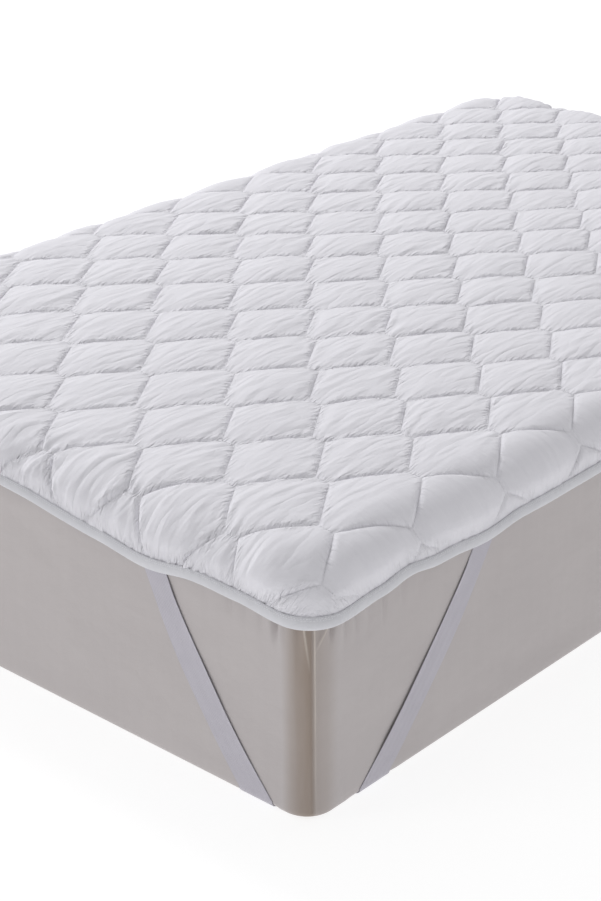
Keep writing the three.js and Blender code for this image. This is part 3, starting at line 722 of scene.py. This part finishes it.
# elastic straps
strap = dict(
    thickness=1.2, gap=0.45, sink=2.05, sewnHeight=281,
    shortTop=327, shortBottom=505, longTop=648, longBottom=868, sewnEnd=36,
    middle=46, underCorner=50, bow=12, topLevel=305,
    ribs=13, ribDepth=0.22, columns=53, lift=1.3, liftFrom=10)


def strapLine():
    edge, half, length = mattress["bottomEdge"], mattress["halfWidth"], mattress["halfLength"]

    def centre(top, bottom, height):
        share = (strap["sewnHeight"] - height) / (strap["sewnHeight"] - edge)
        return top + (bottom - top) * share - strap["bow"] * 4 * share * (1 - share)

    def width(height):
        lower = strap["underCorner"] + (strap["middle"] - strap["underCorner"]) * smooth(height / 120)
        return lower + (strap["sewnEnd"] - lower) * smooth((height - 150) / 130)

    def slant(top, bottom):
        return math.hypot(bottom - top, strap["sewnHeight"]) / strap["sewnHeight"]

    # which side, place of the middle, height (or way across, underneath), reach each side, turn at the edge
    rows = []
    levels = np.linspace(strap["topLevel"], edge, 70)
    short = (strap["shortTop"], strap["shortBottom"])
    long = (strap["longTop"], strap["longBottom"])
    for height in levels:
        rows.append(("short", centre(*short, height), height, width(height) * slant(*short) / 2, quarterTurn))
    shortReach = width(0) * slant(*short) / 2
    longReach = width(0) * slant(*long) / 2
    turns = np.linspace(1, 0, 9)[1:] * quarterTurn
    for turn in turns:
        rows.append(("short", strap["shortBottom"], edge, shortReach, turn))
    start, end = np.array([strap["shortBottom"], length - edge]), np.array([half - edge, strap["longBottom"]])
    for t in np.linspace(0, 1, 30)[1:-1]:
        reach = width(0) / 2 + (shortReach - width(0) / 2) * abs(1 - 2 * t)
        rows.append(("under", start * (1 - t) + end * t, t * quarterTurn, reach, 0))
    for turn in turns[::-1]:
        rows.append(("long", strap["longBottom"], edge, longReach, turn))
    for height in levels[::-1]:
        rows.append(("long", centre(*long, height), height, width(height) * slant(*long) / 2, quarterTurn))
    return rows


def strapPoint(row, side, offset):
    kind, at, level, reach, turn = row
    edge = mattress["bottomEdge"]
    along = side * reach
    if kind != "under":
        upright = smooth((level - strap["liftFrom"]) / 70) * smooth((strap["sewnHeight"] - level) / 26)
        offset = offset + strap["lift"] * upright * max(0, (side - 0.5) / 0.5) ** 2
    if kind == "under":
        return (at[0] + along * math.cos(level), at[1] + along * math.sin(level), strap["sink"] - offset)
    off = (offset - strap["sink"]) + strap["sink"] * math.sin(turn)
    out = (edge + off) * math.sin(turn) - edge
    height = edge - (edge + off) * math.cos(turn) + (level - edge)
    if kind == "short":
        return (at + along, mattress["halfLength"] + out, height)
    return (mattress["halfWidth"] + out, at + along, height)


def buildStrap(name, signX, signY, material):
    rows = strapLine()
    columns = strap["columns"]
    sides = np.linspace(-1, 1, columns)
    rib = 0.5 - 0.5 * np.cos(2 * math.pi * strap["ribs"] * (sides + 1) / 2)
    outer = strap["gap"] + strap["thickness"] - strap["ribDepth"] * (1 - rib)
    outer[[0, -1]] -= 0.35
    points, flats = [], []
    middle = np.array([strapPoint(row, 0, 0) for row in rows])
    travel = np.concatenate([[0], np.cumsum(np.linalg.norm(np.diff(middle, axis=0), axis=1))])
    for layer in (np.full(columns, strap["gap"]), outer):
        for row, way in zip(rows, travel):
            points += [strapPoint(row, side, off) for side, off in zip(sides, layer)]
            flats += [(way, side * row[3], 0) for side in sides]
    points = np.array(points) * (signX, signY, 1)
    count = len(rows)
    number = np.arange(2 * count * columns).reshape(2, count, columns)
    faces = []
    for layer, flip in ((0, False), (1, True)):
        n = number[layer]
        q = np.stack([n[:-1, :-1], n[:-1, 1:], n[1:, 1:], n[1:, :-1]], -1).reshape(-1, 4)
        faces += (q[:, ::-1] if flip == (signX * signY > 0) else q).tolist()
    rim, top = (np.concatenate([n[0, :], n[1:, -1], n[-1, -2::-1], n[-2:0:-1, 0]]) for n in number)
    faces += bridge(rim, top) if signX * signY > 0 else bridge(top, rim)
    obj = makeMesh("elastic_" + name, points, faces, material, {"flat": np.array(flats)})
    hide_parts("strap_" + name)
    return obj


def elasticFinish(start):
    flat = attribute(start, "flat")
    bars = flat.bands("X", 330, 0.3)
    ridges = flat.bands("Y", 90, 0.2)
    colour = (ridges * 0.6 + flat.noise(30, 2) * 0.4).mix((0.47, 0.45, 0.505, 1), (0.585, 0.565, 0.62, 1))
    normal = bumped(start, ridges, 0.3, 0.0005, bumped(start, bars, 0.35, 0.0003))
    return {"Base Color": colour, "Roughness": 0.7, "Sheen Weight": 0.1, "Specular IOR Level": 0.3,
            "Normal": normal}


elasticMaterial = clothMaterial("ribbedElastic", elasticFinish)
corners = (("front_right", 1, -1), ("back_right", 1, 1), ("back_left", -1, 1), ("front_left", -1, -1))
for name, signX, signY in corners:
    buildStrap(name, signX, signY, elasticMaterial)
print("stage: straps")


# the mattress in its cover
cover = dict(
    corner=40, short=180, long=290, endShare=0.42, troughSpare=5, troughDepth=2.35, seamTop=2, seamBottom=8,
    foldTop=292, insets=(230, 190, 160, 140, 125, 112, 100, 90, 80, 70, 60, 50, 40, 30, 21))

# folds under the edge of the panel, by their place past the corner's middle (the long side's way):
# place at the top, lean to the seam over the length, half width, rise or sink, length
cornerFolds = (
    (-11, 9, 2.2, 2.6, 66), (-19, 4, 5, -2.4, 74), (24, -20, 2.2, 2.6, 44), (32, -4, 4, -7.5, 34),
    (14, -9, 3.5, -1.8, 50), (-54, 0, 3.6, -8.5, 44), (-62, 0, 3.2, 2.4, 42), (-45, 2, 3.2, 2.6, 50),
    (-78, 0, 4, -2.4, 42), (-132, 0, 3.4, -4.2, 36), (-126, 0, 3, 1.6, 36), (-104, 0, 5, -1.6, 50),
    (46, -3, 3.2, 2.0, 46), (56, -2, 3.2, -3.2, 50), (67, 0, 3.2, 1.8, 54), (77, 0, 3.6, -3.4, 44),
    (90, 0, 3.5, 1.6, 46), (104, 0, 5, -2.0, 60), (125, 0, 3.6, 1.8, 58), (133, 0, 3.8, -3.2, 54),
    (165, 0, 4, 1.6, 44), (174, 0, 4.5, -2.6, 42), (210, 0, 7, -1.4, 60), (-175, 0, 7, -1.4, 46),
    (-235, 0, 9, -1.2, 60))
slowWaves = ((9, 0.3), (14, 1.9), (23, 4.1), (31, 5.0))  # waves round the mattress, and where each starts


def strapTrough(x, y):  # how far the underside gives way under a strap, for places seen from below
    ax, ay = np.abs(x), np.abs(y)
    start = np.array([strap["shortBottom"], mattress["halfLength"]])
    end = np.array([mattress["halfWidth"], strap["longBottom"]])
    ahead = (end - start) / np.linalg.norm(end - start)
    off = np.abs((ax - start[0]) * ahead[1] - (ay - start[1]) * ahead[0])
    return smooth(((strap["underCorner"] / 2 + cover["troughSpare"]) - off) / 3)


def coverStations():  # closer together near the corners
    stations = ringStations(cover["corner"], cover["short"], cover["long"])
    along = stations[:, 2]
    eased = cover["endShare"] * along + (1 - cover["endShare"]) * (0.5 - 0.5 * np.cos(np.pi * along))
    stations[:, 2] = np.where(along < 0, along, eased)
    return stations


def coverPush(fromMiddle, travel, whole, height):  # how far the cover stands off its plain shape
    slow = sum(np.sin(2 * math.pi * k * travel / whole + p) for k, p in slowWaves) / 2
    below = cover["foldTop"] - height
    upright = smooth((height - 12) / 40) * smooth((312 - height) / 16)
    push = -np.maximum(slow, 0) * 1.1 * upright
    push -= np.maximum(np.sin(height / 34 + slow * 1.3 + travel / 260), 0) ** 2 * 0.8 * upright
    for place, lean, halfWidth, rise, length in cornerFolds:
        centre = place + lean * below / length
        fade = smooth(1.15 - below / length) * upright
        push += rise * np.exp(-((fromMiddle - centre) / halfWidth) ** 2) * fade
    seam = cover["seamTop"] + (cover["seamBottom"] - cover["seamTop"]) * below / cover["foldTop"]
    low = smooth((height - 3) / 12) * smooth((325 - height) / 16)
    ridge = 1.3 * np.exp(-((fromMiddle - seam - 1.5) / 1.7) ** 2)
    groove = 2.2 * np.exp(-((fromMiddle - seam + 2.5) / 2.6) ** 2)
    return push + (ridge - groove) * low


def buildCover(material):
    stations = coverStations()
    m = mattress
    levels = []  # inset, height, corner radius, share outward
    for inset in cover["insets"]:
        levels.append((inset, 0, max(m["uprightCorner"] - inset, 2), 0))
    for turn in np.linspace(0, quarterTurn, 7):
        inset, height = m["bottomEdge"] * (1 - math.sin(turn)), m["bottomEdge"] * (1 - math.cos(turn))
        levels.append((inset, height, m["uprightCorner"] - inset, math.sin(turn)))
    for height in np.linspace(m["bottomEdge"], m["depth"] - m["topEdge"], 44)[1:-1]:
        levels.append((0, height, m["uprightCorner"], 1))
    for turn in np.linspace(quarterTurn, 0, 12):
        radius = m["topCorner"] - (m["topCorner"] - m["uprightCorner"]) * math.sin(turn)
        height = m["depth"] - m["topEdge"] * (1 - math.cos(turn))
        levels.append((m["topEdge"] * (1 - math.sin(turn)), height, radius, math.sin(turn)))
    sideRing = outline(stations, m["halfWidth"], m["halfLength"], m["uprightCorner"])
    travel, whole = ringTravel(np.concatenate([sideRing, sideRing[:, :1] * 0], 1))
    fromMiddle = np.full(len(travel), 1e4)
    for quarter in range(4):
        middle = np.interp((quarter + 0.5) * quarterTurn, stations[:, 1], travel)
        away = (travel - middle + whole / 2) % whole - whole / 2
        away = away if quarter % 2 else -away
        fromMiddle = np.where(np.abs(away) < np.abs(fromMiddle), away, fromMiddle)
    rings, flats = [], []
    normal = np.stack([np.cos(stations[:, 1]), np.sin(stations[:, 1])], 1)
    for inset, height, radius, outward in levels:
        flatRing = outline(stations, m["halfWidth"] - inset, m["halfLength"] - inset, radius)
        push = coverPush(fromMiddle, travel, whole, height) if outward > 0 else np.zeros(len(stations))
        xy = flatRing + normal * push[:, None]
        z = np.full(len(stations), float(height))
        if outward < 1 and height < m["bottomEdge"] + 1:
            sink = cover["troughDepth"] * (1 - outward) * strapTrough(flatRing[:, 0], flatRing[:, 1])
            xy = xy - normal * (sink * outward)[:, None]
            z = z + sink * (1 - outward * outward) ** 0.5
        rings.append(np.concatenate([xy, z[:, None]], 1))
        flats.append(np.stack([travel, np.full(len(travel), height - inset), fromMiddle], 1))
    count = len(stations)
    faces = [list(range(count))[::-1]]
    for k in range(len(rings) - 1):
        faces += bridge(np.arange(count) + k * count, np.arange(count) + (k + 1) * count)
    faces.append(list(range((len(rings) - 1) * count, len(rings) * count)))
    points, marks = np.concatenate(rings), {"flat": np.concatenate(flats)}
    obj = makeMesh("mattress_cover", points, faces, material, marks)
    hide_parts("mattress")
    return obj


def coverFinish(start):
    flat = attribute(start, "flat")
    _, height, fromMiddle = parts(flat)
    place = flat.scaled((1, 1, 0))
    warp = place.bands("X", 300, 0.5)
    weft = place.bands("Y", 300, 0.5)
    soft = place.scaled((0.5, 1, 1)).noise(9, 3, 0.5)
    upright = place.scaled((1, 0.12, 1)).noise(60, 2, 0.5)
    crumple = place.noise(45, 3, 0.55)
    # a darker brown band lies along the corner's seam, deepest on the short side's hand: partly the cloth's
    # own brown tint, partly painted shade of the folded corner
    stops = ((0, 0), (0.14, 0), (0.34, 0.85), (0.50, 1), (0.545, 0.5), (0.68, 0.35), (0.86, 0))
    across = ((fromMiddle - 0.004 + height * 0.02) + 0.06) * (1 / 0.12)
    shade = start.make("ValToRGB", {"stops": [(at, (grey, grey, grey)) for at, grey in stops]}, {0: across})

    def highlightStripe(place, lean, length, width):  # a painted highlight along the crest of a fold or seam, from the panel's edge downwards
        below = cover["foldTop"] * 0.001 - height
        away = (fromMiddle - (place + below * (lean / length))).size()
        return (1 - away * (1 / width)).clamped() * (1.1 - below * (1 / length)).clamped()

    # painted highlights: pale stripes on the crests of the seam's ridge and of two raised folds
    seamHighlight = highlightStripe(0.0035, 0.006, 0.292, 0.0016)
    foldHighlights = highlightStripe(-0.011, 0.009, 0.066, 0.0022) + highlightStripe(0.024, -0.020, 0.044, 0.0022)
    pale = (seamHighlight + foldHighlights).clamped()
    cloth = (soft * 0.7 + upright * 0.3).mix((0.485, 0.45, 0.452, 1), (0.555, 0.52, 0.518, 1))
    # the brown tint along the corner seam, darkened with painted shade and streaked by the upright noise
    colour = (shade * (0.75 + upright * 0.4)).clamped().mix(cloth, (0.335, 0.275, 0.235, 1))
    # the pale stripes laid over the cloth's colour are painted highlights
    colour = (pale * 0.85).mix(colour, (0.66, 0.60, 0.545, 1))
    normal = bumped(start, warp + weft, 0.15, 0.0003)
    normal = bumped(start, crumple, 0.3, 0.003, normal)
    normal = bumped(start, soft, 0.5, 0.012, normal)
    return {"Base Color": colour, "Roughness": 0.85, "Sheen Weight": 0.15, "Specular IOR Level": 0.25,
            "Normal": normal}


buildCover(clothMaterial("mattressCover", coverFinish))
print("stage: mattress cover")


# floor and light
studio = dict(
    floorSize=14, floorLevel=-0.0006, floorGlow=0.78, key=215, keyPlace=(-5.6, 1.0, 4.3), keySize=1.7,
    fill=50, fillPlace=(-3.4, -6.0, 2.4), fillSize=2.6,
    side=12, sidePlace=(6.0, -0.5, 1.6), sideSize=2.6,
    skyWay=(-0.31, 0.22, 0.32), sky=((0, 0.30), (0.5, 0.42), (0.75, 0.60), (1, 0.72)),
    horizon=0.8, bandSlope=14)


def floorFinish(start):
    place = start.make("TexCoord", None, None, out=3)
    colour = place.noise(1.5, 2).mix((0.34, 0.34, 0.345, 1), (0.36, 0.36, 0.36, 1))
    return {"Base Color": colour, "Roughness": 0.9, "Specular IOR Level": 0.1,
            "Emission Color": (1, 1, 1, 1), "Emission Strength": studio["floorGlow"]}


def addLight(name, place, size, energy, aim=(0, 0, 0.3)):
    data = bpy.data.lights.new(name, "AREA")
    data.shape, data.size, data.energy = "DISK", size, energy
    obj = bpy.data.objects.new(name, data)
    obj.location = place
    obj.rotation_euler = (Vector(aim) - Vector(place)).to_track_quat("-Z", "Y").to_euler()
    bpy.context.scene.collection.objects.link(obj)


half = studio["floorSize"]
floorMesh = bpy.data.meshes.new("floor")
floorCorners = [(x * half, y * half, studio["floorLevel"]) for x, y in ((-1, -1), (1, -1), (1, 1), (-1, 1))]
floorMesh.from_pydata(floorCorners, [], [(0, 1, 2, 3)])
floorMesh.materials.append(clothMaterial("paleFloor", floorFinish))
floor = bpy.data.objects.new("floor", floorMesh)
bpy.context.scene.collection.objects.link(floor)

world = bpy.data.worlds.new("studio")
world.use_nodes = True
sky = Wire(world.node_tree)
direction = sky.make("TexCoord", None, None, out=0)
toSky = sky.make("VectorMath", {"operation": "DOT_PRODUCT"}, {0: direction, 1: studio["skyWay"]}, out=1) + 0.5
skyStops = [(at, (grey, grey, grey)) for at, grey in studio["sky"]]
glow = sky.make("ValToRGB", {"stops": skyStops}, {0: toSky})
# a pale band low down, where the floor ends
paleBand = (1 - parts(direction)[2] * studio["bandSlope"]).clamped()
glow = paleBand.mix(glow, (studio["horizon"],) * 3 + (1,))
background = world.node_tree.nodes["Background"]
background.inputs["Strength"].default_value = 1
world.node_tree.links.new(glow.socket, background.inputs["Color"])
bpy.context.scene.world = world
addLight("key", studio["keyPlace"], studio["keySize"], studio["key"])
addLight("fill", studio["fillPlace"], studio["fillSize"], studio["fill"])
addLight("side", studio["sidePlace"], studio["sideSize"], studio["side"])
bpy.context.scene.view_settings.view_transform = "Standard"
print("stage: floor and light")
